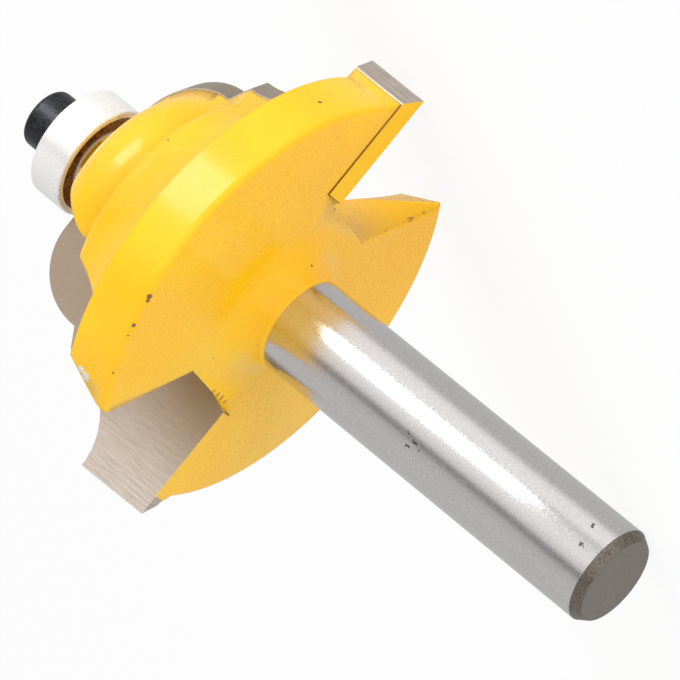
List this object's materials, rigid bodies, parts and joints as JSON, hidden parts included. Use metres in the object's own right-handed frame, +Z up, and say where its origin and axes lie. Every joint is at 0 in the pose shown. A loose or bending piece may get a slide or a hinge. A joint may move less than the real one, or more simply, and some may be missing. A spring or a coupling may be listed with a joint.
{
  "type": "router bit",
  "caption": "Bead and cove edge-forming router bit: painted head with brazed carbide tips, ground round shank, and a ball guide bearing held on the nose by a socket screw.",
  "frame": {"origin": "middle of the footprint box on the ground that the bit lies on", "axes": "+Z up; the bit lies as it comes to rest, its shank end down towards +X and its nose with the bearing up towards -X"},
  "size_m": [0.0594, 0.0354, 0.0336],
  "materials": {
    "painted_body": "gloss",
    "carbide": "ground",
    "braze": "matte",
    "bearing_steel": "polished",
    "ball_steel": "mirror polished",
    "pressed_steel": "satin",
    "black_oxide": "black oxide"
  },
  "bodies": {
    "cutter": {"cutter_body": "painted_body", "carbide_tip_1": "carbide", "carbide_tip_2": "carbide", "braze_seam_1": "braze", "braze_seam_2": "braze", "inner_ring": "bearing_steel", "washer": "pressed_steel", "cap_screw": "black_oxide"},
    "bearing_outer": {"outer_ring": "bearing_steel", "shield_body_side": "pressed_steel", "shield_screw_side": "pressed_steel"},
    "cage": {"ball_cage": "pressed_steel"},
    "ball_1": {"ball_1": "ball_steel"},
    "ball_2": {"ball_2": "ball_steel"},
    "ball_3": {"ball_3": "ball_steel"},
    "ball_4": {"ball_4": "ball_steel"},
    "ball_5": {"ball_5": "ball_steel"},
    "ball_6": {"ball_6": "ball_steel"},
    "ball_7": {"ball_7": "ball_steel"},
    "ball_8": {"ball_8": "ball_steel"}
  },
  "joints": [
    {"name": "outer_ring_spin", "type": "hinge", "parent": "cutter", "child": "bearing_outer", "pos_m": [-0.02422, 0, 0.02294], "axis": [0.9382, 0, -0.346], "continuous": true},
    {"name": "cage_spin", "type": "hinge", "parent": "cutter", "child": "cage", "pos_m": [-0.02422, 0, 0.02294], "axis": [0.9382, 0, -0.346], "continuous": true},
    {"name": "ball_1_spin", "type": "hinge", "parent": "cage", "child": "ball_1", "pos_m": [-0.02476, 0.00323, 0.0215], "axis": [0.9382, 0, -0.346], "continuous": true},
    {"name": "ball_2_spin", "type": "hinge", "parent": "cage", "child": "ball_2", "pos_m": [-0.02381, 0.00337, 0.02406], "axis": [0.9382, 0, -0.346], "continuous": true},
    {"name": "ball_3_spin", "type": "hinge", "parent": "cage", "child": "ball_3", "pos_m": [-0.02311, 0.00153, 0.02596], "axis": [0.9382, 0, -0.346], "continuous": true},
    {"name": "ball_4_spin", "type": "hinge", "parent": "cage", "child": "ball_4", "pos_m": [-0.02306, -0.0012, 0.02609], "axis": [0.9382, 0, -0.346], "continuous": true},
    {"name": "ball_5_spin", "type": "hinge", "parent": "cage", "child": "ball_5", "pos_m": [-0.02369, -0.00323, 0.02437], "axis": [0.9382, 0, -0.346], "continuous": true},
    {"name": "ball_6_spin", "type": "hinge", "parent": "cage", "child": "ball_6", "pos_m": [-0.02464, -0.00337, 0.02181], "axis": [0.9382, 0, -0.346], "continuous": true},
    {"name": "ball_7_spin", "type": "hinge", "parent": "cage", "child": "ball_7", "pos_m": [-0.02534, -0.00153, 0.01991], "axis": [0.9382, 0, -0.346], "continuous": true},
    {"name": "ball_8_spin", "type": "hinge", "parent": "cage", "child": "ball_8", "pos_m": [-0.02539, 0.0012, 0.01978], "axis": [0.9382, 0, -0.346], "continuous": true}
  ],
  "couplings": [
    {"joint": "cage_spin", "follows": "outer_ring_spin", "ratio": 0.61115},
    {"joint": "ball_1_spin", "follows": "outer_ring_spin", "ratio": 2.1381},
    {"joint": "ball_2_spin", "follows": "outer_ring_spin", "ratio": 2.1381},
    {"joint": "ball_3_spin", "follows": "outer_ring_spin", "ratio": 2.1381},
    {"joint": "ball_4_spin", "follows": "outer_ring_spin", "ratio": 2.1381},
    {"joint": "ball_5_spin", "follows": "outer_ring_spin", "ratio": 2.1381},
    {"joint": "ball_6_spin", "follows": "outer_ring_spin", "ratio": 2.1381},
    {"joint": "ball_7_spin", "follows": "outer_ring_spin", "ratio": 2.1381},
    {"joint": "ball_8_spin", "follows": "outer_ring_spin", "ratio": 2.1381}
  ]
}
